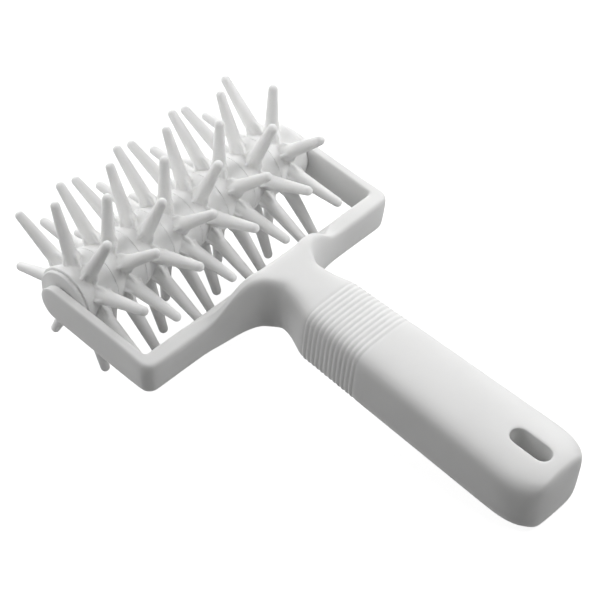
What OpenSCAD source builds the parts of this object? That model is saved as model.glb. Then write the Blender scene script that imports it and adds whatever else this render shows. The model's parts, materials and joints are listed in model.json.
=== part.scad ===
// Dough docker: a spiked roller in a one-piece moulded fork with a long grip.
// It lies as it is put down: on the lowest spikes and on the end of the grip.
// X runs along the roller, the grip points to -Y and +Z is up.

/* [Spiked rings] */
// Width that one ring takes up along the axle
ring_pitch = 14; // [11:0.5:18]
// Seam left between two neighbouring rings
ring_seam = 0.15; // [0.1:0.05:0.4]
// Radius of a ring where it meets the next one
joint_r = 12.4; // [11:0.1:15]
// Radius of a ring at its waist, where the spikes stand
waist_r = 10.4; // [9:0.1:10.8]
// Reach of the spike tips from the axle's centre line
spike_reach = 36; // [26:0.5:38]
// Spikes round one ring
spikes_per_ring = 8; // [6:1:9]
// Diameter of a spike where it leaves the waist
spike_root_d = 5.9; // [4:0.1:6.2]
// Diameter of a spike's round tip
spike_tip_d = 3.6; // [2:0.1:4.2]
// Thickness of the four small fins at a spike's foot
fin_t = 1.2; // [1:0.1:2.2]
// How far a fin stands out from the foot of its spike
fin_out = 1.1; // [0.6:0.1:2]
// How far up the spike a fin runs above the waist
fin_rise = 5.6; // [3:0.1:7]

/* [Axle] */
// Side of the square axle that turns all rings together
axle_side = 8; // [6:0.1:9]
// Gap on each side between the square axle and a ring's square hole
key_gap = 0.25; // [0.2:0.01:0.35]
// Turn of the roller as it lies, measured in the plane of the fork
roller_turn = 14.9; // [0:0.1:45]
// How far the first ring has turned back in its play on the axle
first_ring_play = 2.9; // [0:0.1:2.9]
// Diameter of the round journals at the axle's ends
journal_d = 6; // [4:0.1:7]
// Length of a journal inside its arm
journal_seat = 3; // [2:0.1:3.2]
// Running clearance round a journal, on the radius
journal_gap = 0.08; // [0.03:0.01:0.1]
// Free depth left behind a journal in its blind bore
bore_spare = 0.2; // [0.1:0.05:0.3]
// Radius of the thin end washers
washer_r = 11.4; // [10:0.1:14]
// Thickness of an end washer
washer_t = 1.6; // [0.6:0.1:2]
// Gap between an end washer and its arm
end_gap = 0.35; // [0.3:0.05:0.8]

/* [Fork] */
// Thickness of an arm, along the roller
arm_t = 4.1; // [4:0.1:7]
// Thickness of the crossbar, along the grip
bar_t = 7; // [6.5:0.1:9]
// Height of the arms at the axle
fork_h = 13.5; // [12:0.1:16]
// How much deeper the arms and the crossbar are where they meet
fork_taper = 1.1; // [0:0.1:1.6]
// From the axle's centre line to the near face of the crossbar
bar_y = 41.4; // [40:0.1:50]
// Radius of the fork's inner corners in plan
corner_in_r = 1.6; // [1:0.1:3]
// Radius of the fork's outer corners in plan
corner_out_r = 4.2; // [2.5:0.1:6]
// Rounding of the fork's long edges
fork_edge_r = 1.8; // [1:0.1:2]

/* [Grip] */
// From the axle's centre line to the end of the grip
grip_end = 180.3; // [160:0.1:220]
// Height of the grip
grip_h = 25.5; // [20:0.1:30]
// How far the grip's underside lies above the arms' lower edge at the axle
grip_lift = 1.1; // [0:0.1:3]
// Width of the grip at the ribs
grip_w_ribs = 27; // [20:0.1:30]
// Widest part of the grip, near its end
grip_w_end = 34.2; // [24:0.1:38]
// Width of the neck between the fork and the grip
neck_w = 16.2; // [12:0.1:20]
// From the crossbar to the narrowest place of the neck
neck_run = 10.5; // [8:0.1:14]
// How far the neck flares out along the crossbar on each side
neck_flare = 28; // [18:0.5:32]
// Rounding of the grip's long edges at the ribs
grip_edge_r = 6; // [3:0.1:7]
// Rounding of the grip's long edges at its end
grip_edge_end_r = 8; // [4:0.1:9]
// Length of the rounded end of the grip
end_round = 16.8; // [8:0.1:20]

/* [Ribs and slot] */
// Number of grooves across the front of the grip
groove_count = 13; // [8:1:16]
// Spacing of the grooves
groove_pitch = 2.07; // [1.8:0.01:2.6]
// From the axle's centre line to the first groove
groove_start = 74.4; // [73:0.1:78]
// Depth of a groove
groove_depth = 0.4; // [0.2:0.05:0.6]
// Width of a groove
groove_w = 1.1; // [0.7:0.05:1.3]
// Width of the slot for hanging the tool up
slot_w = 7; // [5:0.1:9]
// Length of the hanging slot
slot_len = 16.7; // [11:0.1:22]
// From the end of the grip to the middle of the slot
slot_inset = 15.6; // [14:0.1:20]

/* [Hidden] */
plastic = [0.95, 0.95, 0.94];
plastic_axle = [0.86, 0.86, 0.84];

round_fn = 48;
spike_fn = 32;
eps = 0.01;
// How far a cutting shape runs past the material on each side
past = 1;
quarter = 90;

// Roller sizes that follow from the above
ring_count = 8;
stack_half = ring_count * ring_pitch / 2;
square_half = stack_half + washer_t;
arm_in = square_half + end_gap;
arm_out = arm_in + arm_t;
journal_end = arm_in + journal_seat;
spike_step = 360 / spikes_per_ring;
// The square hole sits a quarter step off the spikes, so turning every other
// ring end for end staggers its spikes by half a step
key_offset = spike_step / 4;
spike_taper = atan((spike_root_d - spike_tip_d) / 2 / (spike_reach - waist_r));

// Fork and grip heights, measured from the axle's centre line
fork_top = fork_h / 2;
bar_out = bar_y + bar_t;
grip_low = -fork_top + grip_lift;
grip_top = grip_low + grip_h;

// The grip's front wall stands back from the fork's near face
front_back = 4.8;
front_edge_r = 6;
front_y = bar_y + front_back;
// The grip's top runs down to the crossbar on both sides
ramp_start = 13;
ramp_end = 37;
ramp_sink = 2.2;
ramp_low = fork_top - ramp_sink;
// The grip widens behind its neck, up to the first groove
neck_y = bar_out + neck_run;
shoulder_start = neck_y + groove_pitch;
shoulder_end = groove_start + groove_w;
widest_y = grip_end - end_round;
slot_y = grip_end - slot_inset;
grip_mid_z = (grip_low + grip_top) / 2;
// The end is rounded by a power curve, fuller in plan than a circle and
// squarer still when seen from the side
end_power_plan = 3.5;
end_power_side = 10;
function end_u(s) = max(0, (s - widest_y) / end_round);
function end_shrink(s, power) = pow(max(0, 1 - pow(end_u(s), power)), 1 / power);

// The way the tool lies: the lowest tips and the grip's end share one level
function ring_turn(k) = roller_turn + (k % 2 == 1 ? key_offset : -key_offset)
    - (k == 1 ? first_ring_play : 0);
function lowest(turn) = max([for (j = [0 : spikes_per_ring - 1]) -cos(turn + j * spike_step)]);
tip_r = spike_tip_d / 2;
end_contact_share = 0.83;
end_contact_y = widest_y + end_round * end_contact_share;
end_contact_z = grip_mid_z + (grip_low - grip_mid_z) * end_shrink(end_contact_y, end_power_side);
contact_len = norm([end_contact_y, end_contact_z]);
contact_angle = atan2(end_contact_z, end_contact_y);
function tip_low(tilt) = (spike_reach - tip_r)
    * max([for (k = [1 : ring_count]) lowest(ring_turn(k) - tilt)]) + tip_r;
first_tilt = asin(spike_reach / contact_len) + contact_angle;
rest_tilt = asin(tip_low(first_tilt) / contact_len) + contact_angle;
axle_z = tip_low(rest_tilt);
// Middle of the tool along Y as it lies
reach_back = grip_end * cos(rest_tilt) + grip_mid_z * sin(rest_tilt);
mid_y = (reach_back - spike_reach) / 2;

// Puts a piece, drawn about the axle with the fork level, where it lies
module lay_down() {
    translate([0, mid_y, axle_z]) rotate([rest_tilt, 0, 0]) children();
}

// Skin of rows of points: every row has the same number of points
function skin_faces(rows, cols) = concat(
    [for (i = [0 : rows - 2], j = [0 : cols - 1])
        [i * cols + j, i * cols + (j + 1) % cols, (i + 1) * cols + j]],
    [for (i = [0 : rows - 2], j = [0 : cols - 1])
        [i * cols + (j + 1) % cols, (i + 1) * cols + (j + 1) % cols, (i + 1) * cols + j]],
    [[for (j = [cols - 1 : -1 : 0]) j]],
    [[for (j = [0 : cols - 1]) (rows - 1) * cols + j]]);

module skin(rows) {
    cols = len(rows[0]);
    polyhedron(points = [for (row = rows, p = row) p], faces = skin_faces(len(rows), cols));
}

// Fork: one sweep along the right arm, the crossbar and the left arm, deeper
// towards the crossbar
corner_steps = 6;
edge_steps = 5;
function fork_corner(side, a) = [
    [side * (arm_in - corner_in_r + corner_in_r * cos(a)),
     -(bar_y - corner_in_r + corner_in_r * sin(a))],
    [side * (arm_out - corner_out_r + corner_out_r * cos(a)),
     -(bar_out - corner_out_r + corner_out_r * sin(a))]];
fork_path = concat(
    [[[arm_in, 0], [arm_out, 0]]],
    [for (i = [0 : corner_steps]) fork_corner(1, quarter * i / corner_steps)],
    [for (i = [corner_steps : -1 : 0]) fork_corner(-1, quarter * i / corner_steps)],
    [[[-arm_in, 0], [-arm_out, 0]]]);

// Rounded edge of a bar: distance in from its face and height
function edge_point(a, r, h) = [r * (1 - cos(a)), h / 2 - r + r * sin(a)];
edge_arc = [for (i = [0 : edge_steps]) edge_point(quarter * i / edge_steps, fork_edge_r, fork_h)];
function fork_section(pair) =
    let (inner = pair[0], outer = pair[1], t = norm(outer - inner), dir = (outer - inner) / t,
         deep = fork_taper * min(1, -inner[1] / (bar_y - corner_in_r)),
         up = [for (p = edge_arc) [p[0], p[1]]],
         over = [for (i = [edge_steps : -1 : 0]) [t - edge_arc[i][0], edge_arc[i][1]]],
         down = [for (p = edge_arc) [t - p[0], -p[1] - deep]],
         back = [for (i = [edge_steps : -1 : 0]) [edge_arc[i][0], -edge_arc[i][1] - deep]])
    [for (p = concat(up, over, down, back))
        [inner[0] + dir[0] * p[0], inner[1] + dir[1] * p[0], p[1]]];

module fork_bars() {
    skin([for (pair = fork_path) fork_section(pair)]);
}

// Half section of an arm's round end, turned about the axle's centre line
module arm_end_profile() {
    polygon(concat([[0, 0]],
        [for (p = edge_arc) [p[1], p[0]]],
        [for (i = [edge_steps : -1 : 0]) [edge_arc[i][1], arm_t - edge_arc[i][0]]],
        [[0, arm_t]]));
}

module arm_end(side) {
    translate([side > 0 ? arm_in : -arm_out, 0, 0])
        rotate([0, quarter, 0])
            rotate_extrude(angle = 2 * quarter, start = 0, $fn = round_fn) arm_end_profile();
}

module journal_bore(side) {
    depth = journal_seat + bore_spare;
    translate([side > 0 ? arm_in - eps : -arm_in - depth, 0, 0])
        rotate([0, quarter, 0])
            cylinder(h = depth + eps, r = journal_d / 2 + journal_gap, $fn = round_fn);
}

// Neck and grip: one skin of cross sections, s is the distance from the axle
function smooth(u) = let (v = min(1, max(0, u))) v * v * (3 - 2 * v);
function mix(a, b, u) = a + (b - a) * min(1, max(0, u));
function flare(s) = s < bar_out ? neck_flare
    : s > neck_y ? 0
    : neck_flare * (1 - sqrt(max(0, 1 - pow((neck_y - s) / neck_run, 2))));
function grip_half_w(s) = s <= neck_y ? neck_w / 2 + flare(s)
    : s < shoulder_end
        ? mix(neck_w / 2, grip_w_ribs / 2, smooth((s - shoulder_start) / (shoulder_end - shoulder_start)))
    : mix(grip_w_ribs / 2, grip_w_end / 2, (s - shoulder_end) / (widest_y - shoulder_end))
        * end_shrink(s, end_power_plan);
function front_drop(s) = s >= front_y + front_edge_r ? 0
    : front_edge_r * (1 - sqrt(max(0, 1 - pow((front_y + front_edge_r - s) / front_edge_r, 2))));
function ramp(x) = ramp_low + (grip_top - ramp_low)
    * (1 + cos(2 * quarter * min(1, max(0, (abs(x) - ramp_start) / (ramp_end - ramp_start))))) / 2;
function grip_edge(s) = mix(grip_edge_r, grip_edge_end_r, (s - shoulder_end) / (widest_y - shoulder_end));

top_steps = 12;
grip_edge_steps = 5;
// An edge's radius never takes more than these shares of half the width and of
// the height
edge_of_width = 0.8;
edge_of_height = 0.45;
// Section before the ramps: a rectangle with round edges, inset by d
function plain_section(w, low, top, r) =
    let (arc = [for (i = [0 : grip_edge_steps]) quarter * i / grip_edge_steps])
    concat(
        [for (a = arc) [-w + r - r * cos(a), top - r + r * sin(a)]],
        [for (i = [1 : top_steps - 1]) [-w + r + (2 * w - 2 * r) * i / top_steps, top]],
        [for (a = arc) [w - r + r * sin(a), top - r + r * cos(a)]],
        [for (a = arc) [w - r + r * cos(a), low + r - r * sin(a)]],
        [[0, low]],
        [for (a = arc) [-w + r - r * sin(a), low + r - r * cos(a)]]);
function grip_section(s, d) =
    let (w = grip_half_w(s) - d,
         k = end_shrink(s, end_power_side),
         low = grip_mid_z + (grip_low - grip_mid_z) * k + d,
         top = grip_mid_z + (grip_top - grip_mid_z) * k - d,
         r = min(grip_edge(s), w * edge_of_width, (top - low) * edge_of_height))
    [for (p = plain_section(w, low, top, r))
        let (share = (ramp(p[0]) - front_drop(s) - low) / (grip_top - low))
        [p[0], -s, s > neck_y ? p[1] : low + (p[1] - low) * share]];

front_steps = 4;
flare_steps = 9;
shoulder_steps = 6;
end_steps = 9;
end_last_turn = 84;
plain_steps = 3;
groove_floor = 0.2;
grooves_end = groove_start + groove_count * groove_pitch;
grip_rows = concat(
    [for (i = [0 : front_steps - 1])
        let (a = quarter * i / front_steps)
        [front_y + min(front_edge_r, bar_out - front_y) * (1 - cos(a)), 0]],
    [for (i = [0 : flare_steps]) [neck_y - neck_run * cos(quarter * i / flare_steps), 0]],
    [for (i = [0 : shoulder_steps])
        [mix(shoulder_start, groove_start - groove_w, i / shoulder_steps), 0]],
    [for (i = [0 : groove_count - 1], g = [[-1 / 2, 0], [-groove_floor, 1], [groove_floor, 1], [1 / 2, 0]])
        [groove_start + i * groove_pitch + g[0] * groove_w, g[1] * groove_depth]],
    [for (i = [1 : plain_steps - 1]) [mix(grooves_end, widest_y, i / plain_steps), 0]],
    [for (i = [0 : end_steps]) [widest_y + end_round * sin(end_last_turn * i / end_steps), 0]]);

module grip() {
    skin([for (row = grip_rows) grip_section(row[0], row[1])]);
}

module hang_slot() {
    reach = slot_len / 2 - slot_w / 2;
    translate([0, -slot_y, grip_low - past]) linear_extrude(grip_h + 2 * past) {
        translate([-slot_w / 2, -reach]) square([slot_w, 2 * reach]);
        for (y = [-reach, reach]) translate([0, y]) circle(d = slot_w, $fn = round_fn);
    }
}

module frame_handle() {
    color(plastic) lay_down() difference() {
        union() {
            fork_bars();
            arm_end(-1);
            arm_end(1);
            grip();
        }
        journal_bore(-1);
        journal_bore(1);
        hang_slot();
    }
}

module axle() {
    color(plastic_axle) lay_down() rotate([-roller_turn, 0, 0]) {
        translate([-square_half, -axle_side / 2, -axle_side / 2])
            cube([2 * square_half, axle_side, axle_side]);
        translate([-journal_end, 0, 0]) rotate([0, quarter, 0])
            cylinder(h = 2 * journal_end, d = journal_d, $fn = round_fn);
    }
}

// Square hole through a ring or a washer
module key_hole(length) {
    side = axle_side + 2 * key_gap;
    translate([-length / 2 - past, -side / 2, -side / 2]) cube([length + 2 * past, side, side]);
}

ring_w = ring_pitch - ring_seam;
waist_steps = 12;
function ring_radius(x) = waist_r + (joint_r - waist_r)
    * (1 - pow(cos(2 * quarter * x / ring_pitch), 2));

// Ring body: widest at both faces and drawn in at the waist
module ring_body() {
    rotate([0, quarter, 0]) rotate_extrude($fn = round_fn)
        polygon(concat([[0, -ring_w / 2]],
            [for (i = [0 : waist_steps])
                let (x = ring_w * (i / waist_steps - 1 / 2)) [ring_radius(x), x]],
            [[0, ring_w / 2]]));
}

// Spike along +Z with a round tip; its foot and its fins' feet are sunk in the ring
spike_sink = 1;
fin_sink = 1.2;
module spike() {
    foot = waist_r - spike_sink;
    tip_z = spike_reach - tip_r;
    cone_end = tip_z + tip_r * sin(spike_taper);
    foot_r = spike_root_d / 2 + spike_sink * tan(spike_taper);
    translate([0, 0, foot])
        cylinder(h = cone_end - foot, r1 = foot_r, r2 = tip_r * cos(spike_taper), $fn = spike_fn);
    translate([0, 0, tip_z]) sphere(r = tip_r, $fn = spike_fn);
}

// A pair of fins on opposite sides of a spike's foot: each stands straight up to
// its shoulder and then leans in to the spike
fin_shoulder = 0.42;
fin_lean = 0.84;
module fin_pair() {
    half = spike_root_d / 2 + fin_out;
    low = waist_r - fin_sink;
    shoulder = waist_r + fin_rise * fin_shoulder;
    top = waist_r + fin_rise;
    top_half = spike_root_d / 2 * fin_lean;
    rotate([quarter, 0, 0]) translate([0, 0, -fin_t / 2]) linear_extrude(fin_t)
        polygon([[-half, low], [-half, shoulder], [-top_half, top],
                 [top_half, top], [half, shoulder], [half, low]]);
}

module ring(k) {
    x = (k - (ring_count + 1) / 2) * ring_pitch;
    flip = k % 2 == 1 ? 1 : -1;
    play = k == 1 ? first_ring_play : 0;
    color(plastic) lay_down()
        translate([x, 0, 0]) rotate([play - roller_turn, 0, 0]) difference() {
            union() {
                ring_body();
                for (j = [0 : spikes_per_ring - 1])
                    rotate([-flip * key_offset - j * spike_step, 0, 0]) {
                        spike();
                        fin_pair();
                        rotate([0, 0, quarter]) fin_pair();
                    }
            }
            key_hole(ring_pitch);
        }
}

module washer(side) {
    edge = washer_t / 3;
    half = washer_t / 2;
    color(plastic) lay_down() translate([side * (stack_half + half), 0, 0])
        rotate([-roller_turn, 0, 0]) difference() {
            rotate([0, quarter, 0]) rotate_extrude($fn = round_fn)
                polygon([[0, -half], [washer_r - edge, -half], [washer_r, edge - half],
                         [washer_r, half - edge], [washer_r - edge, half], [0, half]]);
            key_hole(washer_t);
        }
}

frame_handle();
axle();
ring(1);  // ring_1
ring(2);  // ring_2
ring(3);  // ring_3
ring(4);  // ring_4
ring(5);  // ring_5
ring(6);  // ring_6
ring(7);  // ring_7
ring(8);  // ring_8
washer(-1);  // washer_left
washer(1);  // washer_right
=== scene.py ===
import json
import math

import bmesh
import bpy
from mathutils import Matrix, Vector


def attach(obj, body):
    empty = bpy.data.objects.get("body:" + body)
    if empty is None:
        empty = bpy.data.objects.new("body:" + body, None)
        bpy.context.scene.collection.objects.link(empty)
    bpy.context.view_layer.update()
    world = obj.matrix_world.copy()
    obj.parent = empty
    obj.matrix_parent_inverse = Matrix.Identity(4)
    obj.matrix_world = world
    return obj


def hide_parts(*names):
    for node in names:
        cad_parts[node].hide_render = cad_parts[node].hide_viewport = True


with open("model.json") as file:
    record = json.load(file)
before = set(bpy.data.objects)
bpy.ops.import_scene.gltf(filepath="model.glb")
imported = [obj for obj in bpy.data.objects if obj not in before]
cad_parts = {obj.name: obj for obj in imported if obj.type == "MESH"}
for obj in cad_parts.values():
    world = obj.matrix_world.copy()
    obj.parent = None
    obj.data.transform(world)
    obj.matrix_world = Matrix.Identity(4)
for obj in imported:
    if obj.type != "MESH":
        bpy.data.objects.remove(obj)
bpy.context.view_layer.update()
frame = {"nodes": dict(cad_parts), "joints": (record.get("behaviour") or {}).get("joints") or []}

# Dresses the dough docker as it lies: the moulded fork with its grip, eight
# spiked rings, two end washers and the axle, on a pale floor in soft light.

bl_info = {
    "name": "Dough docker",
    "version": (1, 0, 0),
    "blender": (4, 5, 0),
    "location": "3D View > Sidebar > Docker",
    "description": "Builds the smooth moulded pieces of a dough docker round its fixed frame",
    "category": "Object",
}

MM = 0.001
BODY_FRAME = "frame"
BODY_ROLLER = "roller"
HUB = Vector(frame["joints"][0]["pos_m"])
RING_COUNT = 8

# A point counts as found when it is this near to where it was put
NEAR = 0.05 * MM
# Squareness of the grip's round end, seen from above and from the side
END_SQUARE_ABOVE = 2.9
END_SQUARE_SIDE = 8.0
# The end is rounded this much later than its stations stand
END_LATE = 0.8 * MM
# Share of a corner's radius that its rounding takes off along the diagonal
ROUND_CUT = 0.293
# A smoothed cage corner gives way by this part of the cage's width or height
CAGE_CUT = 1.0 / 18.0
# How strongly a cage corner is drawn in for each length that the surface gives way
CAGE_PULL = 1.5
# Depth of a spike's foot below the ring's waist
FOOT_SUNK = 1.2 * MM
# Up to this share of its rise a fin keeps its full reach, then it leans in
FIN_SHOULDER = 0.42
# What the top of a fin keeps of the spike's root radius
FIN_LEAN = 0.84
# Camera, about the axle with the fork level: angles in degrees, lengths in ring pitches
CAMERA_AROUND, CAMERA_ABOVE, CAMERA_ROLL = -51.84, 47.48, 6.87
CAMERA_DISTANCE, CAMERA_LEFT, CAMERA_UP = 61.88, -3.182, 2.062
CAMERA_UNIT = 14.0 * MM


# Values that a user may change

def length(name, text, default_mm):
    """A length that a user may change, given here in millimetres."""
    return bpy.props.FloatProperty(name=name, description=text, default=default_mm * MM,
                                   unit="LENGTH", min=0.0, precision=5)


def angle(name, text, default_deg):
    """An angle that a user may change, given here in degrees."""
    return bpy.props.FloatProperty(name=name, description=text, unit="ROTATION",
                                   default=math.radians(default_deg))


def colour(name, text, rgb):
    """A colour that a user may change."""
    return bpy.props.FloatVectorProperty(name=name, description=text, default=rgb, size=3,
                                         subtype="COLOR", min=0.0, max=1.0)


def share(name, text, default):
    """A number from nought to one that a user may change."""
    return bpy.props.FloatProperty(name=name, description=text, default=default,
                                   min=0.0, max=1.0, subtype="FACTOR")


def power(name, text, watts):
    """The strength of a lamp."""
    return bpy.props.FloatProperty(name=name, description=text, default=watts, min=0.0,
                                   unit="POWER")


class DockerForkSizes(bpy.types.PropertyGroup):
    """Sizes of the fork, its neck and its grip, measured from the axle with the fork level."""
    tilt: angle("Resting tilt", "Slope of the fork as the tool lies on its spikes", 9.877)
    arm_in: length("Arm, inner face", "From the middle to the inside of an arm", 57.95)
    arm_t: length("Arm thickness", "Thickness of an arm along the roller", 4.1)
    bar_y: length("Crossbar", "From the axle to the near face of the crossbar", 41.4)
    bar_t: length("Crossbar thickness", "Thickness of the crossbar along the grip", 7.0)
    fork_h: length("Fork height", "Height of the arms at the axle", 13.5)
    taper: length("Fork taper", "How much deeper the arms and the crossbar are where they meet",
                  1.1)
    inner_r: length("Inner corner", "Radius of the fork's inner corners", 1.6)
    outer_r: length("Outer corner", "Radius of the fork's outer corners", 4.2)
    front_back: length("Front set back", "From the crossbar's near face to the neck's front wall",
                       4.8)
    grip_low: length("Underside", "Depth of the grip's underside below the axle", 5.65)
    grip_h: length("Grip height", "Height of the grip", 25.5)
    neck_w: length("Neck width", "Width of the narrowest place of the neck", 16.2)
    neck_y: length("Neck place", "From the axle to the narrowest place of the neck", 58.9)
    rib_w: length("Rib width", "Width of the grip at its first groove", 27.0)
    end_w: length("End width", "Widest part of the grip", 34.2)
    grip_end: length("Grip end", "From the axle to the end of the grip", 180.3)
    end_round: length("End rounding", "Length of the rounded end", 16.8)
    neck_draft: length("Neck draft", "How much further the neck stands out on each side at its top",
                       1.9)
    neck_edge_r: length("Neck edge rounding", "Rounding of the neck's long edges", 4.5)
    edge_r: length("Edge rounding", "Rounding of the grip's long edges at the ribs", 6.0)
    end_edge_r: length("End edge rounding", "Rounding of the grip's long edges at its end", 8.0)
    groove_start: length("First groove", "From the axle to the first groove", 74.4)
    groove_pitch: length("Groove spacing", "Spacing of the grooves", 2.07)
    groove_depth: length("Groove depth", "How deep the grooves are drawn in", 0.27)
    slot_w: length("Slot width", "Width of the hanging slot", 7.0)
    slot_len: length("Slot length", "Length of the hanging slot", 16.7)
    slot_y: length("Slot place", "From the axle to the middle of the slot", 164.7)
    groove_count: bpy.props.IntProperty(name="Grooves", default=13, min=1, max=20,
                                        description="Number of grooves across the grip")


class DockerRollerSizes(bpy.types.PropertyGroup):
    """Sizes of the rings and the washers."""
    pitch: length("Ring pitch", "Width that one ring takes up", 14.0)
    seam: length("Seam", "Seam between two rings", 0.05)
    joint_r: length("Rim radius", "Radius of a ring at its faces", 12.4)
    waist_r: length("Waist radius", "Radius of a ring at its waist", 10.4)
    reach: length("Spike reach", "From the axle to the tips", 36.0)
    root_r: length("Spike root", "Radius of a spike at the waist", 2.95)
    tip_r: length("Spike tip", "Radius of a spike's round tip", 1.8)
    fin_t: length("Fin thickness", "Thickness of the fins at a spike's foot", 1.2)
    fin_out: length("Fin reach", "How far a fin stands out from its spike", 1.1)
    fin_rise: length("Fin rise", "How far up the spike a fin runs", 5.6)
    square: length("Square hole", "Side of the square hole on the axle", 8.5)
    washer_r: length("Washer radius", "Radius of an end washer", 11.4)
    washer_t: length("Washer thickness", "Thickness of an end washer", 1.6)
    turn: angle("Roller turn", "Turn of the roller as it lies", 14.9)
    play: angle("First ring's play", "How far the first ring has turned back", 2.9)
    grain: length("Remesh grain", "Grain of the mesh that melts the spikes into a ring", 0.3)
    spikes: bpy.props.IntProperty(name="Spikes", default=8, min=3, max=9,
                                  description="Spikes round one ring")


class DockerFinish(bpy.types.PropertyGroup):
    """Colours and gloss of the plastics."""
    white: colour("White plastic", "Colour of the moulded fork", (0.80, 0.80, 0.795))
    ring_white: colour("Ring plastic", "Colour of the rings and washers", (0.87, 0.87, 0.865))
    axle_white: colour("Axle plastic", "Colour of the axle", (0.66, 0.66, 0.64))
    shade: share("Mottling", "How far the colour wanders", 0.03)
    gloss: share("Roughness", "Roughness of the moulded skin", 0.46)


class DockerStage(bpy.types.PropertyGroup):
    """Floor, lamps and camera."""
    floor: colour("Floor", "Colour of the floor", (0.35, 0.35, 0.35))
    top_power: power("Top lamp", "Strength of the lamp above the grip", 0.72)
    side_power: power("Side lamp", "Strength of the lamp at the right", 0.41)
    left_power: power("Left lamp", "Strength of the lamp at the back on the left", 0.60)
    back_power: power("Back lamp", "Strength of the lamp behind the roller", 0.96)
    far_power: power("Far lamp", "Strength of the lamp at the back on the right", 0.90)
    front_power: power("Front lamp", "Strength of the lamp beyond the grip", 0.15)
    fill: power("Fill", "Strength of the light from all round", 0.01)
    lens: bpy.props.FloatProperty(name="Lens", default=141.78, min=20.0,
                                  description="Focal length for a 36 mm wide picture",
                                  unit="CAMERA")


# Modelling helpers

def rest():
    """Leaves edit mode and lets go of every object."""
    if bpy.context.object and bpy.context.object.mode == "EDIT":
        bpy.ops.object.mode_set(mode="OBJECT")
    bpy.ops.object.select_all(action="DESELECT")


def edit():
    """Opens the active object for shaping, with nothing picked."""
    bpy.context.tool_settings.mesh_select_mode = (False, False, True)
    bpy.ops.object.mode_set(mode="EDIT")
    bpy.ops.mesh.select_all(action="DESELECT")


def settle(name):
    """Ends the shaping of the active object, gives it its name and places it in its mesh."""
    if bpy.context.object.mode == "EDIT":
        bpy.ops.object.mode_set(mode="OBJECT")
    piece = bpy.context.object
    piece.name = piece.data.name = name
    bpy.ops.object.transform_apply(location=True, rotation=True, scale=True)
    return piece


def pick_faces(test):
    """Picks the faces whose middle and normal pass the test, and no other."""
    bpy.context.tool_settings.mesh_select_mode = (False, False, True)
    data = bpy.context.object.data
    shape = bmesh.from_edit_mesh(data)
    for part in shape.faces:
        part.select_set(bool(test(part.calc_center_median(), part.normal)))
    bmesh.update_edit_mesh(data)


def pick_points(test):
    """Picks the points whose place passes the test, and no other, and counts them."""
    bpy.context.tool_settings.mesh_select_mode = (True, False, False)
    bpy.ops.mesh.select_all(action="DESELECT")
    data = bpy.context.object.data
    shape = bmesh.from_edit_mesh(data)
    for point in shape.verts:
        point.select_set(bool(test(point.co)))
    shape.select_flush(True)
    bmesh.update_edit_mesh(data)
    return sum(point.select for point in shape.verts)


def move(x=0.0, y=0.0, z=0.0):
    """Moves what is picked."""
    bpy.ops.transform.translate(value=(x, y, z))


def scale(x, y, z, about):
    """Scales what is picked about a point."""
    bpy.ops.transform.resize(value=(x, y, z), center_override=tuple(about))


def turn(radians, axis, about):
    """Turns what is picked anticlockwise; with no window the operator counts the other way."""
    bpy.ops.transform.rotate(value=-radians, orient_axis=axis, center_override=tuple(about))


def extrude():
    """Extrudes what is picked, in place."""
    bpy.ops.mesh.extrude_region_move(TRANSFORM_OT_translate={"value": (0, 0, 0)})


class Bar:
    """The picked end of a growing bar: its middle, width, height and the heading of its width."""

    def __init__(self, middle, width, height, heading=0.0):
        self.middle = Vector(middle)
        self.width, self.height, self.heading = width, height, heading

    def place(self, middle, width, height, heading=None):
        """Brings the picked end to a new middle, size and heading."""
        heading = self.heading if heading is None else heading
        middle = Vector(middle)
        move(*(middle - self.middle))
        turn(-self.heading, "Z", middle)
        scale(width / self.width, 1.0, height / self.height, middle)
        turn(heading, "Z", middle)
        self.middle, self.width, self.height, self.heading = middle, width, height, heading

    def grow(self, middle, width, height, heading=None):
        """Extrudes the picked end and brings the new one into place."""
        extrude()
        self.place(middle, width, height, heading)


def modify(piece, kind, **settings):
    """Puts a modifier on a piece and applies it at once."""
    rest()
    piece.select_set(True)
    bpy.context.view_layer.objects.active = piece
    tool = piece.modifiers.new(kind.title(), kind)
    for key, value in settings.items():
        setattr(tool, key, value)
    bpy.ops.object.modifier_apply(modifier=tool.name)
    return piece


def smooth(piece, degrees=40.0):
    """Shades a piece smooth, but for its sharp edges."""
    rest()
    piece.select_set(True)
    bpy.context.view_layer.objects.active = piece
    bpy.ops.object.shade_smooth_by_angle(angle=math.radians(degrees))
    return piece


def lay_down(piece, tilt):
    """Brings a piece that was made about the axle, with the fork level, to where it lies."""
    rest()
    piece.data.transform(Matrix.Translation(HUB) @ Matrix.Rotation(tilt, 4, "X"))
    piece.data.update()
    return piece


def dress(piece, material, body, slot, *nodes):
    """Gives a piece its material and its body, and hides the nodes that it stands for; the slot is
    not used.
    """
    piece.data.materials.clear()
    piece.data.materials.append(material)
    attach(piece, body)
    if nodes:
        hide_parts(*nodes)


# Shaders

class Wire:
    """A socket that can be used in a Python expression."""

    def __init__(self, graph, socket):
        self.graph, self.socket = graph, socket

    def maths(self, operation, first, second):
        return self.graph.add("ShaderNodeMath", {"operation": operation}, {0: first, 1: second})

    def __add__(self, other):
        return self.maths("ADD", self, other)

    def __radd__(self, other):
        return self.maths("ADD", other, self)

    def __sub__(self, other):
        return self.maths("SUBTRACT", self, other)

    def __rsub__(self, other):
        return self.maths("SUBTRACT", other, self)

    def __mul__(self, other):
        return self.maths("MULTIPLY", self, other)

    def __rmul__(self, other):
        return self.maths("MULTIPLY", other, self)

    def __gt__(self, other):
        return self.maths("GREATER_THAN", self, other)


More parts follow.
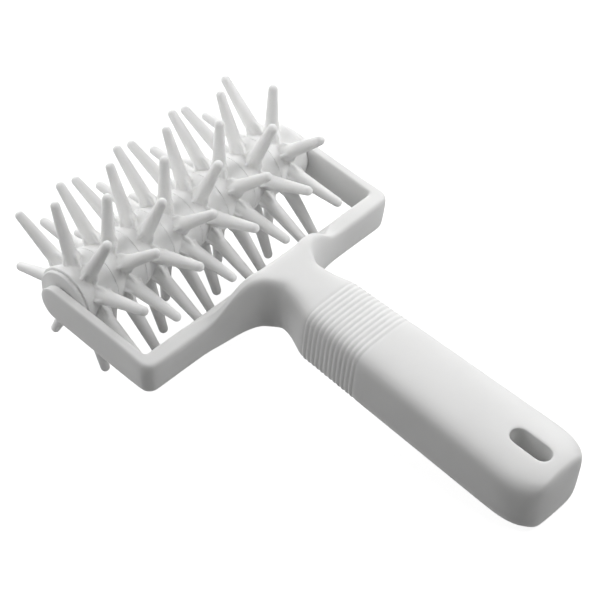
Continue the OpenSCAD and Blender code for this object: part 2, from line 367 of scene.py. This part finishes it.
class Graph:
    """The node tree of one material."""

    def __init__(self, name):
        self.material = bpy.data.materials.new(name)
        self.material.use_nodes = True
        self.tree = self.material.node_tree
        self.tree.nodes.clear()

    def add(self, kind, settings=None, inputs=None, output=0):
        """Adds a node: its settings first, then the values or wires of its sockets."""
        node = self.tree.nodes.new(kind)
        for key, value in (settings or {}).items():
            if key == "stops":
                for place, level in value:
                    stops = node.color_ramp.elements
                    stop = stops.new(place) if 0.0 < place < 1.0 else stops[-1 if place else 0]
                    stop.color = (level, level, level, 1.0)
            else:
                setattr(node, key, value)
        for key, value in (inputs or {}).items():
            if isinstance(value, Wire):
                self.tree.links.new(value.socket, node.inputs[key])
            else:
                node.inputs[key].default_value = value
        return Wire(self, node.outputs[output]) if node.outputs else node

    def noise(self, place, per_metre, detail, roughness):
        """Clouds of a size, with finer ones in them."""
        return self.add("ShaderNodeTexNoise", {"noise_dimensions": "3D"}, {
            "Vector": place, "Scale": per_metre, "Detail": detail, "Roughness": roughness})

    def ramp(self, wire, *stops):
        """Grey levels at places from 0 to 1."""
        return self.add("ShaderNodeValToRGB", {"stops": stops}, {"Fac": wire})

    def blend(self, mask, first, second):
        """A colour that goes from first to second as the mask goes from 0 to 1."""
        return self.add("ShaderNodeMix", {"data_type": "RGBA"}, {0: mask, 6: first, 7: second},
                        output=2)


def tint(rgb, factor):
    """A colour, lighter or darker by a factor, as four numbers."""
    return tuple(min(1.0, part * factor) for part in rgb) + (1.0,)


def moulded_plastic(name, rgb, finish, grain_mm=0.35, specks=True, glow=0.12):
    """White moulded plastic: faint clouds, flow, fine grain, rubbed patches, a few dark specks."""
    g = Graph(name)
    place = g.add("ShaderNodeTexCoord", output=3)
    cloud = g.noise(place, 38.0, 3.0, 0.55)
    flow_place = g.add("ShaderNodeMapping", {}, {"Vector": place, "Scale": (1.0, 0.22, 1.0)})
    flow = g.noise(flow_place, 160.0, 2.0, 0.5)
    grain = g.noise(place, 1.0 / (grain_mm * MM), 2.0, 0.6)
    dimple = g.noise(place, 260.0, 2.0, 0.5)
    rubbed = g.ramp(g.noise(place, 85.0, 4.0, 0.62),
                    (0.0, 0.0), (0.47, 0.0), (0.66, 1.0), (1.0, 1.0))
    mottle = cloud * 0.6 + flow * 0.4
    shade = finish.shade
    base = g.blend(mottle, tint(rgb, 1.0 - shade), tint(rgb, 1.0 + shade))
    base = g.blend(rubbed * 0.25, base, tint(rgb, 1.0 - 1.6 * shade))
    if specks:
        dots = g.add("ShaderNodeTexVoronoi", {"feature": "F1"}, {"Vector": place, "Scale": 90.0})
        rare = g.noise(place, 47.0, 0.0, 0.5) > 0.70
        near = g.ramp(dots, (0.0, 1.0), (0.035, 1.0), (0.055, 0.0), (1.0, 0.0))
        base = g.blend(near * rare * 0.5, base, tint(rgb, 0.35))
    rough = (cloud - 0.5) * 0.14 + (grain - 0.5) * 0.10 + rubbed * 0.07 + finish.gloss
    relief = grain * 0.012 + dimple * 0.030 + flow * 0.012
    normal = g.add("ShaderNodeBump", {}, {"Strength": 0.5, "Distance": 0.4 * MM, "Height": relief})
    skin = g.add("ShaderNodeBsdfPrincipled", {}, {
        "Base Color": base, "Roughness": rough, "Normal": normal,
        "Subsurface Weight": glow, "Subsurface Radius": (0.004, 0.004, 0.0038),
        "Subsurface Scale": 1.0, "IOR": 1.46, "Specular IOR Level": 0.42})
    g.add("ShaderNodeOutputMaterial", {}, {"Surface": skin})
    return g.material


def floor_paper(name, rgb):
    """White paper: a pale sheet that the camera sees as white, and that still takes a shadow."""
    g = Graph(name)
    place = g.add("ShaderNodeTexCoord", output=3)
    fibre = g.noise(place, 900.0, 2.0, 0.5)
    base = g.blend(fibre, tint(rgb, 0.99), tint(rgb, 1.01))
    paper = g.add("ShaderNodeBsdfDiffuse", {}, {"Color": base})
    light = g.add("ShaderNodeLightPath")
    seen = g.add("ShaderNodeMath", {"operation": "MAXIMUM"}, {
        0: Wire(g, light.socket.node.outputs["Is Camera Ray"]),
        1: Wire(g, light.socket.node.outputs["Is Glossy Ray"])})
    glow = g.add("ShaderNodeEmission", {}, {"Color": (1, 1, 1, 1), "Strength": seen * 0.9})
    both = g.add("ShaderNodeAddShader", {}, {0: paper, 1: glow})
    g.add("ShaderNodeOutputMaterial", {}, {"Surface": both})
    return g.material


# Fork, neck and grip

def eased(share_of_way):
    """A soft step from nought to one."""
    v = min(1.0, max(0.0, share_of_way))
    return v * v * (3.0 - 2.0 * v)


def grip_half_width(z, s):
    """Half the width of the neck and grip at a distance s from the axle."""
    half_neck, half_rib, half_end = z.neck_w / 2, z.rib_w / 2, z.end_w / 2
    shoulder, full = z.neck_y + 2.1 * MM, z.groove_start + 1.1 * MM
    widest = z.grip_end - z.end_round
    if s < full:
        return half_neck + (half_rib - half_neck) * eased((s - shoulder) / (full - shoulder))
    return half_rib + (half_end - half_rib) * min(1.0, (s - full) / (widest - full))


def end_share(z, s, squareness):
    """How much is left of the grip's width or height in its rounded end."""
    u = max(0.0, (s - z.grip_end + z.end_round) / z.end_round)
    return max(0.0, 1.0 - u ** squareness) ** (1.0 / squareness)


def flare_back(z, x, reach_mm=28.0):
    """How far back the flare reaches at a distance x from the middle."""
    bar_out = z.bar_y + z.bar_t
    run = z.neck_y - bar_out
    u = min(1.0, max(0.0, (z.neck_w / 2 + reach_mm * MM - x) / (reach_mm * MM)))
    return z.neck_y - run * math.sqrt(1.0 - u * u)


def ramp_top(z, x, start_mm=13.0, end_mm=37.0, sink_mm=2.2):
    """Height of the sloping top between the neck and the crossbar."""
    low, high = z.fork_h / 2 - sink_mm * MM, z.grip_h - z.grip_low
    u = min(1.0, max(0.0, (x - start_mm * MM) / ((end_mm - start_mm) * MM)))
    return max(low + (high - low) * (1.0 + math.cos(math.pi * u)) / 2, z.fork_h / 2)


def grow_grip(z):
    """Draws the neck's back out into the grip, with its grooves and its round end."""
    top = z.grip_h - z.grip_low
    mid = (top - z.grip_low) / 2
    bar = Bar((0, -z.neck_y, mid), z.neck_w, z.grip_h)
    pick_faces(lambda c, n: n.y < -0.9)
    steps = [(z.neck_y + d * MM, 0.0) for d in (2.1, 5.2, 8.6, 12.0)]
    stations = []
    for i in range(z.groove_count):
        s = z.groove_start + i * z.groove_pitch
        land = 0.3 * z.groove_pitch
        steps += [(s - land, 0.0), (s, z.groove_depth), (s + land, 0.0)]
    reach = (z.slot_len - z.slot_w) / 2
    steps += [(s, 0.0) for s in (
        z.groove_start + z.groove_count * z.groove_pitch + 2.0 * MM,
        z.slot_y - 30.0 * MM, z.slot_y - reach - 5.5 * MM, z.slot_y - reach - 1.48 * MM,
        z.slot_y - reach / 2, z.slot_y + reach / 2, z.slot_y + reach + 1.48 * MM,
        z.slot_y + reach + 5.5 * MM, z.grip_end - 3.0 * MM, z.grip_end - 0.7 * MM)]
    for s, inset in steps:
        width = 2 * (grip_half_width(z, s) * end_share(z, s - END_LATE, END_SQUARE_ABOVE) - inset)
        height = z.grip_h * end_share(z, s - END_LATE, END_SQUARE_SIDE) - 2 * inset
        bar.grow((0, -s, mid), width, height)
        stations.append((s, width, height))
    pick_points(lambda p: p.y < -(z.grip_end - 0.8 * MM) and abs(p.x) < bar.width * 0.2
                and abs(p.z - mid) < bar.height * 0.2)
    move(y=-0.9 * MM)
    for s, width, height in [(z.neck_y, z.neck_w, z.grip_h)] + stations[:-1]:
        along = min(1.0, max(0.0, (s - z.groove_start) / (z.slot_y - z.groove_start)))
        neck = 1.0 - eased((s - 62.0 * MM) / (9.0 * MM))
        radius = z.edge_r + (z.end_edge_r - z.edge_r) * along + (z.neck_edge_r - z.edge_r) * neck
        cut = ROUND_CUT * radius
        for row in (1, 2, 3) if neck > 0 else ():
            pick_points(lambda p: abs(p.y + s) < NEAR and abs(p.x) > 0.4 * width
                        and abs(p.z - mid - height * (row / 3 - 0.5)) < NEAR)
            scale(1 + 2 * z.neck_draft * neck * row / 3 / width, 1, 1, (0, 0, 0))
        pick_points(lambda p: abs(p.y + s) < NEAR and abs(p.x) > 0.4 * width
                    and abs(p.z - mid) > 0.4 * height)
        scale(1 - CAGE_PULL * max(0.0, cut - width * CAGE_CUT) * 2 / width, 1,
              1 - CAGE_PULL * max(0.0, cut - height * CAGE_CUT) * 2 / height, (0, -s, mid))


def cut_slot(z):
    """Opens the hanging slot through the grip, with softly rounded edges."""
    reach = (z.slot_len - z.slot_w) / 2
    outer = reach + 5.5 * MM
    third = grip_half_width(z, z.slot_y) / 3
    for side in (1, -1):
        pick_faces(lambda c, n: n.z * side > 0.9 and abs(c.x) < third * 0.5
                   and abs(c.y + z.slot_y) < outer)
        bpy.ops.mesh.inset(thickness=third - z.slot_w / 2, depth=0.0)
        shape = bmesh.from_edit_mesh(bpy.context.object.data)
        ring = {tuple(v.co) for v in shape.verts if v.select}
        for across, along, inner, wide, far in (
                (1, reach + 2.5 * MM, True, 0.423 * z.slot_w / 2, reach + 1.023 * z.slot_w / 2),
                (1, reach, False, 1.023 * z.slot_w / 2, reach + 0.423 * z.slot_w / 2)):
            for end in (1, -1):
                found = pick_points(lambda p: tuple(p) in ring and (
                    (p.y + z.slot_y) * end > along if inner
                    else along < (p.y + z.slot_y) * end < reach + 2.5 * MM))
                now = [v.co.copy() for v in bmesh.from_edit_mesh(bpy.context.object.data).verts
                       if v.select]
                half = max(abs(p.x) for p in now)
                place = sum(p.y for p in now) / found
                scale(wide / half, 1.0, 1.0, (0, 0, 0))
                move(y=-z.slot_y + end * far - place)
        pick_faces(lambda c, n: n.z * side > 0.9 and abs(c.x) < third * 0.5
                   and abs(c.y + z.slot_y) < outer - MM)
        for depth in (0.7, 2.6):
            extrude()
            move(z=-side * depth * MM)
        bpy.ops.mesh.delete(type="FACE")
    bpy.context.tool_settings.mesh_select_mode = (False, True, False)
    bpy.ops.mesh.select_all(action="DESELECT")
    bpy.ops.mesh.select_non_manifold()
    bpy.ops.mesh.bridge_edge_loops(number_cuts=2)


def grow_side(z, side):
    """Draws the neck's side out into the flare, the crossbar, the corner and the arm."""
    half, bar_out, arm_out = z.neck_w / 2, z.bar_y + z.bar_t, z.arm_in + z.arm_t
    top, fork_top = z.grip_h - z.grip_low, z.fork_h / 2
    front = z.bar_y + z.front_back
    pick_faces(lambda c, n: n.x * side > 0.9 and c.y > -z.neck_y and abs(c.x) < half + MM)
    bar = Bar((side * half, -(front + z.neck_y) / 2, (top - z.grip_low) / 2),
              z.neck_y - front, z.grip_h, math.pi / 2)
    stations = []
    for x in (10.5, 14, 18, 22, 26, 30, 34, 39, 46, 52):
        x *= MM
        away = eased((x - half) / (30 * MM))
        near = front + (z.bar_y - front) * eased((x - 25 * MM) / (11 * MM))
        back, high = flare_back(z, x), ramp_top(z, x)
        low = -z.grip_low + (z.grip_low - fork_top - z.taper) * eased((x - half) / (20 * MM))
        bar.grow((side * x, -(near + back) / 2, (low + high) / 2), back - near, high - low)
        stations.append((x, near, back, low, high, away))
    for i in range(5):
        a = math.pi / 2 * (1 - i / 4)
        inner = Vector((z.arm_in - z.inner_r * (1 - math.cos(a)),
                        z.bar_y - z.inner_r * (1 - math.sin(a))))
        outer = Vector((arm_out - z.outer_r * (1 - math.cos(a)),
                        bar_out - z.outer_r * (1 - math.sin(a))))
        across = outer - inner
        middle = (inner + outer) / 2
        bar.grow((side * middle.x, -middle.y, -z.taper / 2), across.length, z.fork_h + z.taper,
                 math.atan2(across.y, -side * across.x))
    middle_x = side * (z.arm_in + z.arm_t / 2)
    for y in (-34, -20, -3):
        deep = z.taper * -y * MM / z.bar_y
        bar.grow((middle_x, y * MM, -deep / 2), z.arm_t, z.fork_h + deep,
                 math.pi if side > 0 else 0.0)
    round_r = fork_top / 0.902
    near, far = round_r * math.sin(math.radians(22.5)), round_r * math.cos(math.radians(22.5))
    bar.grow((middle_x, near, 0), z.arm_t, 2 * far)
    pick_points(lambda p: p.y > near - 0.1 * MM and abs(p.z) < far / 2 and p.x * side > 0)
    move(y=far - near)
    scale(1, 1, near / (far / 3), (0, 0, 0))
    for x in (half / 3, half):
        pick_points(lambda p: abs(p.x - side * x) < NEAR and abs(p.y + front) < NEAR
                    and p.z > top - NEAR)
        move(y=-1.6 * MM, z=-0.9 * MM)
    for x, near, back, low, high, away in stations:
        draft = z.neck_draft * (1 - eased((x - half) / (20 * MM)))
        third = (high - low) / 3
        for y, height, along_mm, down_mm in (
                (near, high, -1.4, 1.5), (near + (back - near) * 2 / 3, high, 0.6, 0.0),
                (back, high, 2.3, 1.3), (back, high - third, 0, 0),
                (back, high - 2 * third, 0, 0)):
            pick_points(lambda p: abs(p.x - side * x) < NEAR and abs(p.y + y) < NEAR
                        and abs(p.z - height) < NEAR)
            out = draft * (height - low) / (high - low) if y == back else 0.0
            move(y=along_mm * MM * (1 - away) - out, z=-down_mm * MM * (1 - away))


def crossbar_core(z, inset_mm=0.2):
    """The straight crossbar that runs on before the neck, a little inside the drawn-out one."""
    inset = inset_mm * MM
    rest()
    bpy.ops.mesh.primitive_cube_add(
        size=1, location=(0, -z.bar_y - z.bar_t / 2, -z.taper / 2),
        scale=(78 * MM, z.bar_t - 2 * inset, z.fork_h + z.taper - 2 * inset))
    core = settle("crossbar_core")
    return modify(core, "BEVEL", width=1.8 * MM, segments=6, limit_method="ANGLE",
                  angle_limit=math.radians(60))


def fork_and_grip(z):
    """The one-piece fork with its neck and grip, drawn out from a block at the neck."""
    front = z.bar_y + z.front_back
    rest()
    bpy.ops.mesh.primitive_cube_add(
        size=1, location=(0, -(front + z.neck_y) / 2, z.grip_h / 2 - z.grip_low),
        scale=(z.neck_w, z.neck_y - front, z.grip_h))
    bpy.ops.object.transform_apply(location=True, rotation=True, scale=True)
    edit()
    bpy.ops.mesh.select_all(action="SELECT")
    bpy.ops.mesh.subdivide(number_cuts=2)
    grow_grip(z)
    for side in (-1, 1):
        grow_side(z, side)
    cut_slot(z)
    bpy.ops.mesh.select_all(action="SELECT")
    bpy.ops.mesh.normals_make_consistent(inside=False)
    piece = settle("fork_and_grip")
    modify(piece, "SUBSURF", levels=3, render_levels=3)
    core = crossbar_core(z)
    modify(piece, "BOOLEAN", operation="UNION", object=core, solver="EXACT")
    bpy.data.objects.remove(core)
    return lay_down(smooth(piece, 60.0), z.tilt)


# Rings and washers

def ring_body(z):
    """Waisted body of a ring, about the X axis."""
    width = z.pitch - z.seam
    rest()
    bpy.ops.mesh.primitive_cylinder_add(vertices=64, radius=z.waist_r, depth=width,
                                        rotation=(0, math.pi / 2, 0))
    bpy.ops.object.transform_apply(location=True, rotation=True, scale=True)
    edit()
    cuts = 11
    for i in range(1, cuts):
        bpy.ops.mesh.select_all(action="SELECT")
        bpy.ops.mesh.bisect(plane_co=(width * (i / cuts - 0.5), 0, 0), plane_no=(1, 0, 0))
    for i in range(cuts + 1):
        x = width * (i / cuts - 0.5)
        bulge = 1.0 - math.cos(math.pi * x / z.pitch) ** 2
        pick_points(lambda p: abs(p.x - x) < 0.1 * MM)
        factor = (z.waist_r + (z.joint_r - z.waist_r) * bulge) / z.waist_r
        scale(1, factor, factor, (x, 0, 0))
    body = settle("ring_body")
    rest()
    bpy.ops.mesh.primitive_cube_add(size=1, scale=(2 * width, z.square, z.square))
    cutter = settle("square_cutter")
    modify(body, "BOOLEAN", operation="DIFFERENCE", object=cutter, solver="EXACT")
    bpy.data.objects.remove(cutter)
    return body


def spike(z):
    """One spike along Z with its round tip and its four fins."""
    foot, tip = z.waist_r - FOOT_SUNK, z.reach - z.tip_r
    rest()
    bpy.ops.mesh.primitive_cylinder_add(vertices=32, radius=z.root_r, depth=1.0 * MM,
                                        location=(0, 0, foot + 0.5 * MM))
    bpy.ops.object.transform_apply(location=True, rotation=True, scale=True)
    edit()
    pick_faces(lambda c, n: n.z > 0.9)
    at, wide = foot + 1.0 * MM, z.root_r
    slope = (z.root_r - z.tip_r) / (tip - z.waist_r)
    steps = [(h, z.tip_r + slope * (tip - h))
             for h in (z.waist_r + 4 * MM, z.waist_r + 12 * MM, tip)]
    steps += [(tip + z.tip_r * math.sin(a), z.tip_r * math.cos(a))
              for a in (math.radians(15 * k) for k in range(1, 6))]
    for height, radius in steps:
        extrude()
        move(z=height - at)
        scale(radius / wide, radius / wide, 1, (0, 0, height))
        at, wide = height, radius
    pole = settle("spike")
    half = z.root_r + z.fin_out
    top_half = z.root_r * FIN_LEAN
    top = z.waist_r + z.fin_rise
    parts = [pole]
    for heading in (0, math.pi / 2):
        rest()
        bpy.ops.mesh.primitive_cube_add(size=1, location=(0, 0, (foot + top) / 2),
                                        scale=(2 * half, z.fin_t, top - foot))
        bpy.ops.object.transform_apply(location=True, rotation=True, scale=True)
        edit()
        bpy.ops.mesh.select_all(action="SELECT")
        bpy.ops.mesh.bisect(plane_co=(0, 0, z.waist_r + z.fin_rise * FIN_SHOULDER),
                            plane_no=(0, 0, 1))
        pick_points(lambda p: p.z > top - 0.1 * MM)
        scale(top_half / half, 1, 1, (0, 0, 0))
        bpy.ops.mesh.select_all(action="SELECT")
        turn(heading, "Z", (0, 0, 0))
        fin = settle("fin")
        modify(fin, "BEVEL", width=0.32 * z.fin_t, segments=3, limit_method="ANGLE",
               angle_limit=math.radians(35))
        parts.append(fin)
    rest()
    for part in parts:
        part.select_set(True)
    bpy.context.view_layer.objects.active = pole
    bpy.ops.object.join()
    return pole


def melted_ring(z):
    """A ring with its spikes melted in, as one moulding with small fillets."""
    body, pole = ring_body(z), spike(z)
    rest()
    pole.select_set(True)
    bpy.context.view_layer.objects.active = pole
    edit()
    step = 2 * math.pi / z.spikes
    for i in range(z.spikes - 1):
        if i == 0:
            bpy.ops.mesh.select_all(action="SELECT")
        bpy.ops.mesh.duplicate()
        turn(step, "X", (0, 0, 0))
    settle("spikes")
    rest()
    body.select_set(True)
    pole.select_set(True)
    bpy.context.view_layer.objects.active = body
    bpy.ops.object.join()
    modify(body, "REMESH", mode="VOXEL", voxel_size=z.grain)
    modify(body, "SMOOTH", factor=0.5, iterations=3)
    modify(body, "DECIMATE", ratio=0.4)
    return body


def spiked_rings(z, tilt, material):
    """All the rings: one design, every other one turned end for end."""
    pattern = melted_ring(z)
    step = 2 * math.pi / z.spikes
    for k in range(1, RING_COUNT + 1):
        flip = 1 if k % 2 else -1
        ring_turn = z.turn + flip * step / 4 - (z.play if k == 1 else 0.0)
        x = (k - (RING_COUNT + 1) / 2) * z.pitch
        piece = bpy.data.objects.new(f"spiked_ring_{k}", pattern.data.copy())
        bpy.context.scene.collection.objects.link(piece)
        place = Matrix.Translation((x, 0, 0)) @ Matrix.Rotation(-ring_turn, 4, "X")
        if flip < 0:
            place = place @ Matrix.Rotation(math.pi, 4, "Z")
        piece.data.transform(place)
        smooth(piece, 75.0)
        lay_down(piece, tilt)
        dress(piece, material, BODY_ROLLER, "ring_plastic", f"ring_{k}")
    bpy.data.objects.remove(pattern)


def end_washers(z, tilt, material):
    """The two end washers with round rims."""
    rest()
    bpy.ops.mesh.primitive_cylinder_add(vertices=96, radius=z.washer_r, depth=z.washer_t,
                                        rotation=(0, math.pi / 2, 0))
    washer = settle("washer_pattern")
    rest()
    bpy.ops.mesh.primitive_cube_add(size=1, scale=(4 * z.washer_t, z.square, z.square))
    cutter = settle("square_cutter")
    modify(washer, "BOOLEAN", operation="DIFFERENCE", object=cutter, solver="EXACT")
    bpy.data.objects.remove(cutter)
    modify(washer, "BEVEL", width=0.32 * z.washer_t, segments=4, limit_method="ANGLE",
           angle_limit=math.radians(50))
    stack_half = RING_COUNT * z.pitch / 2
    for side, node in ((-1, "washer_left"), (1, "washer_right")):
        piece = bpy.data.objects.new(f"{node}_rounded", washer.data.copy())
        bpy.context.scene.collection.objects.link(piece)
        piece.data.transform(Matrix.Translation((side * (stack_half + z.washer_t / 2), 0, 0))
                             @ Matrix.Rotation(-z.turn, 4, "X"))
        smooth(piece, 30.0)
        lay_down(piece, tilt)
        dress(piece, material, BODY_ROLLER, "washer_plastic", node)
    bpy.data.objects.remove(washer)


# Floor, lamps and camera

def softbox(name, place, towards, size, watts):
    """A square lamp that looks at a point."""
    lamp = bpy.data.lights.new(name, "AREA")
    lamp.size, lamp.energy = size, watts
    box = bpy.data.objects.new(name, lamp)
    bpy.context.scene.collection.objects.link(box)
    box.location = place
    box.visible_camera = False
    box.rotation_euler = (Vector(towards) - Vector(place)).to_track_quat("-Z", "Y").to_euler()


def photo_camera(stage, tilt):
    """The camera at the photograph's place, worked out about the axle with the fork level."""
    around, above, roll = (math.radians(v) for v in (CAMERA_AROUND, CAMERA_ABOVE, CAMERA_ROLL))
    ca, sa, ce, se = math.cos(around), math.sin(around), math.cos(above), math.sin(above)
    back = Vector((sa * ce, -ca * ce, se))
    right, up = Vector((ca, sa, 0)), Vector((-sa * se, ca * se, ce))
    across = math.cos(roll) * right + math.sin(roll) * up
    upward = math.cos(roll) * up - math.sin(roll) * right
    place = (CAMERA_DISTANCE * back - CAMERA_LEFT * across - CAMERA_UP * upward) * CAMERA_UNIT
    lay = Matrix.Translation(HUB) @ Matrix.Rotation(tilt, 4, "X")
    data = bpy.data.cameras.new("photo_camera")
    data.sensor_width, data.lens = 36.0, stage.lens
    data.clip_start, data.clip_end = 0.05, 20.0
    camera = bpy.data.objects.new("photo_camera", data)
    bpy.context.scene.collection.objects.link(camera)
    camera.matrix_world = lay @ Matrix((
        (across.x, upward.x, back.x, place.x), (across.y, upward.y, back.y, place.y),
        (across.z, upward.z, back.z, place.z), (0, 0, 0, 1)))
    bpy.context.scene.camera = camera


def white_room(fill):
    """A soft light from all round that the camera sees as white."""
    world = bpy.data.worlds.new("white_room")
    bpy.context.scene.world = world
    world.use_nodes = True
    tree = world.node_tree
    tree.nodes.clear()
    light = tree.nodes.new("ShaderNodeLightPath")
    seen = tree.nodes.new("ShaderNodeMath")
    seen.operation = "MAXIMUM"
    tree.links.new(light.outputs["Is Camera Ray"], seen.inputs[0])
    tree.links.new(light.outputs["Is Transmission Ray"], seen.inputs[1])
    white, soft = tree.nodes.new("ShaderNodeBackground"), tree.nodes.new("ShaderNodeBackground")
    white.inputs["Color"].default_value = (1, 1, 1, 1)
    soft.inputs["Color"].default_value = (1, 1, 1, 1)
    soft.inputs["Strength"].default_value = fill
    mix, out = tree.nodes.new("ShaderNodeMixShader"), tree.nodes.new("ShaderNodeOutputWorld")
    tree.links.new(seen.outputs[0], mix.inputs[0])
    tree.links.new(soft.outputs[0], mix.inputs[1])
    tree.links.new(white.outputs[0], mix.inputs[2])
    tree.links.new(mix.outputs[0], out.inputs["Surface"])


# Operators and panel

class DOCKER_OT_fork(bpy.types.Operator):
    """Builds the moulded fork with its neck and ribbed grip"""
    bl_idname = "docker.fork"
    bl_label = "Fork and grip"

    def execute(self, context):
        scene = context.scene
        finish = scene.docker_finish
        plastic = moulded_plastic("white_fork_plastic", finish.white, finish)
        dress(fork_and_grip(scene.docker_fork), plastic, BODY_FRAME, "fork_plastic", "frame_handle")
        return {"FINISHED"}


class DOCKER_OT_rings(bpy.types.Operator):
    """Builds the eight spiked rings"""
    bl_idname = "docker.rings"
    bl_label = "Spiked rings"

    def execute(self, context):
        scene = context.scene
        plastic = moulded_plastic("white_ring_plastic", scene.docker_finish.ring_white,
                                  scene.docker_finish, grain_mm=0.3, specks=False, glow=0.3)
        spiked_rings(scene.docker_roller, scene.docker_fork.tilt, plastic)
        return {"FINISHED"}


class DOCKER_OT_washers(bpy.types.Operator):
    """Builds the two thin end washers"""
    bl_idname = "docker.washers"
    bl_label = "End washers"

    def execute(self, context):
        scene = context.scene
        plastic = moulded_plastic("white_washer_plastic", scene.docker_finish.ring_white,
                                  scene.docker_finish, grain_mm=0.25, specks=False)
        end_washers(scene.docker_roller, scene.docker_fork.tilt, plastic)
        return {"FINISHED"}


class DOCKER_OT_axle(bpy.types.Operator):
    """Finishes the square axle, which keeps the shape that the frame gives it"""
    bl_idname = "docker.axle"
    bl_label = "Axle"

    def execute(self, context):
        finish = context.scene.docker_finish
        axle = frame["nodes"]["axle"]
        axle.data.materials.clear()
        axle.data.materials.append(
            moulded_plastic("grey_axle_plastic", finish.axle_white, finish, specks=False))
        return {"FINISHED"}


class DOCKER_OT_stage(bpy.types.Operator):
    """Sets up the pale floor, the soft lamps and the camera"""
    bl_idname = "docker.stage"
    bl_label = "Stage"

    def execute(self, context):
        scene = context.scene
        stage = scene.docker_stage
        rest()
        bpy.ops.mesh.primitive_plane_add(size=6.0, location=(0, 0, 0))
        floor = settle("floor")
        floor.data.materials.append(floor_paper("white_paper", stage.floor))
        for name, place, towards, size, watts in (
                ("top_lamp", (0.06, -0.24, 0.38), (0.0, -0.14, 0.0), 0.22, stage.top_power),
                ("side_lamp", (0.26, -0.05, 0.20), (0.03, 0.03, 0.03), 0.12, stage.side_power),
                ("left_lamp", (-0.25, 0.20, 0.30), (0.0, 0.04, 0.03), 0.30, stage.left_power),
                ("back_lamp", (0.0, 0.45, 0.20), (0.0, 0.04, 0.03), 0.30, stage.back_power),
                ("far_lamp", (0.30, 0.30, 0.25), (0.0, 0.04, 0.03), 0.30, stage.far_power),
                ("front_lamp", (0.05, -0.45, 0.30), (0.0, 0.0, 0.02), 0.30, stage.front_power)):
            softbox(name, place, towards, size, watts)
        white_room(stage.fill)
        photo_camera(stage, scene.docker_fork.tilt)
        scene.view_settings.view_transform = "Standard"
        return {"FINISHED"}


class DOCKER_PT_panel(bpy.types.Panel):
    """Lists the operators that build the dough docker"""
    bl_idname = "DOCKER_PT_panel"
    bl_label = "Dough docker"
    bl_space_type = "VIEW_3D"
    bl_region_type = "UI"
    bl_category = "Docker"

    def draw(self, context):
        for operator in OPERATORS:
            self.layout.operator(operator.bl_idname)


OPERATORS = (DOCKER_OT_fork, DOCKER_OT_rings, DOCKER_OT_washers, DOCKER_OT_axle, DOCKER_OT_stage)
GROUPS = {"docker_fork": DockerForkSizes, "docker_roller": DockerRollerSizes,
          "docker_finish": DockerFinish, "docker_stage": DockerStage}


def register():
    for group in GROUPS.values():
        bpy.utils.register_class(group)
    for name, group in GROUPS.items():
        setattr(bpy.types.Scene, name, bpy.props.PointerProperty(type=group))
    for item in (*OPERATORS, DOCKER_PT_panel):
        bpy.utils.register_class(item)


def unregister():
    for item in reversed((*OPERATORS, DOCKER_PT_panel)):
        bpy.utils.unregister_class(item)
    for name in GROUPS:
        delattr(bpy.types.Scene, name)
    for group in reversed(GROUPS.values()):
        bpy.utils.unregister_class(group)


def main():
    register()
    bpy.ops.docker.fork()
    bpy.ops.docker.rings()
    bpy.ops.docker.washers()
    bpy.ops.docker.axle()
    bpy.ops.docker.stage()


if __name__ == "__main__":
    main()
